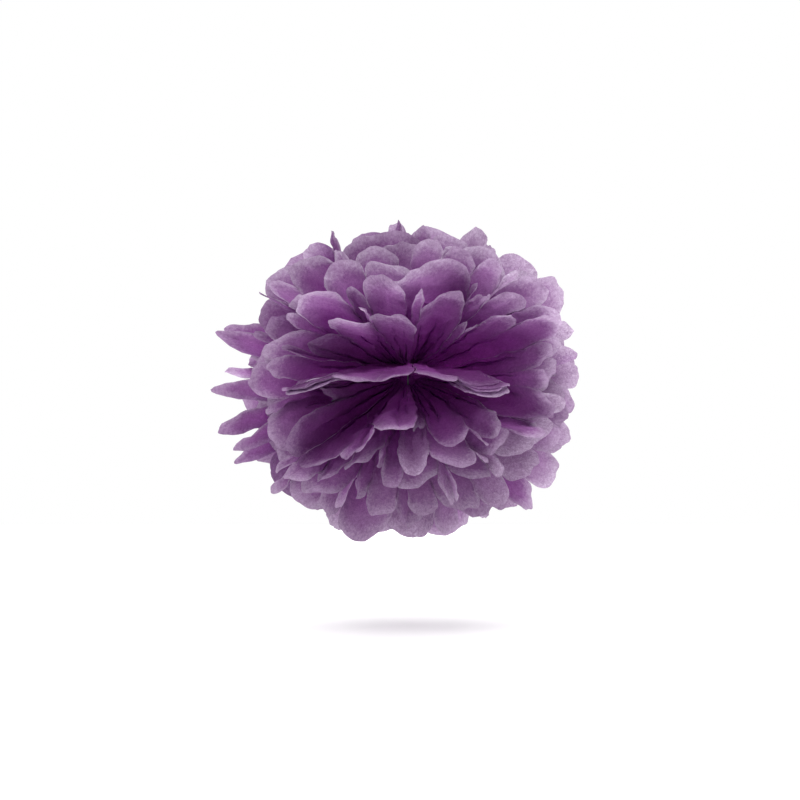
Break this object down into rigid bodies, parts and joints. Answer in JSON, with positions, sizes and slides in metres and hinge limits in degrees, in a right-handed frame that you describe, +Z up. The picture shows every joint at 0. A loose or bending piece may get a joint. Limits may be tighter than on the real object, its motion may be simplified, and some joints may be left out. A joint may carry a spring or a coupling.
{
  "type": "tissue paper pom pom",
  "caption": "Ball of pleated purple tissue paper sheets tied in the middle with wire and fluffed into round-tipped petals.",
  "frame": {"origin": "middle of the wire tie, where all the sheets are gathered", "axes": "+X along the folded strip to the right-hand fan, -Y to the front pole that faces the viewer, +Z up, to the side where the wire's twisted end stands"},
  "size_m": [0.2457, 0.2073, 0.2155],
  "materials": {
    "tissue": "thin matte tissue paper, lets light through",
    "wire": "thin plain binding wire"
  },
  "bodies": {
    "root": {"sheet_01": "tissue", "sheet_02": "tissue", "sheet_03": "tissue", "sheet_04": "tissue", "sheet_05": "tissue", "sheet_06": "tissue", "sheet_07": "tissue", "sheet_08": "tissue", "sheet_09": "tissue", "sheet_10": "tissue", "tie_wire": "wire"}
  },
  "joints": []
}
